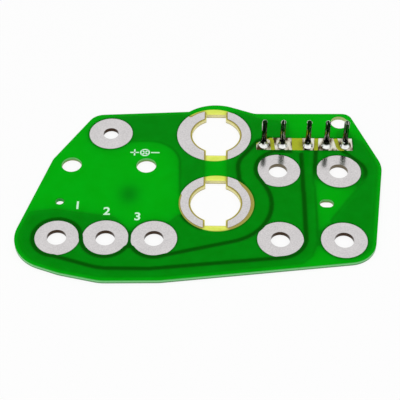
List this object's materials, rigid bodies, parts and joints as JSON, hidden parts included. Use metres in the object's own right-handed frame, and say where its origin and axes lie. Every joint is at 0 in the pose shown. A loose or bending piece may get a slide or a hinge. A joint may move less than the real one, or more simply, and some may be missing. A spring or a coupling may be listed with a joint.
{
  "type": "printed circuit board",
  "caption": "Flat instrument panel circuit board with copper areas under green mask, bare ring lands round stud holes, keyed lamp openings and a row of upright connector pins.",
  "frame": {"origin": "middle of the outline's bounding rectangle, on the underside of the laminate", "axes": "+Z out of the copper side, +X along the board towards the connector pins, +Y towards the edge with the lamp boss"},
  "size_m": [0.1026, 0.0682, 0.0106],
  "materials": {
    "laminate": "glass-fibre epoxy laminate",
    "solder_mask": "glossy green solder mask",
    "tinned_copper": "satin tinned copper",
    "pin": "bright tinned brass",
    "solder": "bright solder"
  },
  "bodies": {
    "root": {"laminate": "laminate", "solder_mask": "solder_mask", "ground_conductor": "tinned_copper", "lamp_feed_conductor": "tinned_copper", "sender_conductor": "tinned_copper", "limiter_conductor": "tinned_copper", "ignition_conductor": "tinned_copper", "upper_gauge_conductor": "tinned_copper", "lower_gauge_conductor": "tinned_copper", "pin_1": "pin", "pin_2": "pin", "pin_3": "pin", "pin_4": "pin", "pin_5": "pin", "solder_joint_1": "solder", "solder_joint_2": "solder", "solder_joint_3": "solder", "solder_joint_4": "solder", "solder_joint_5": "solder"}
  },
  "joints": []
}
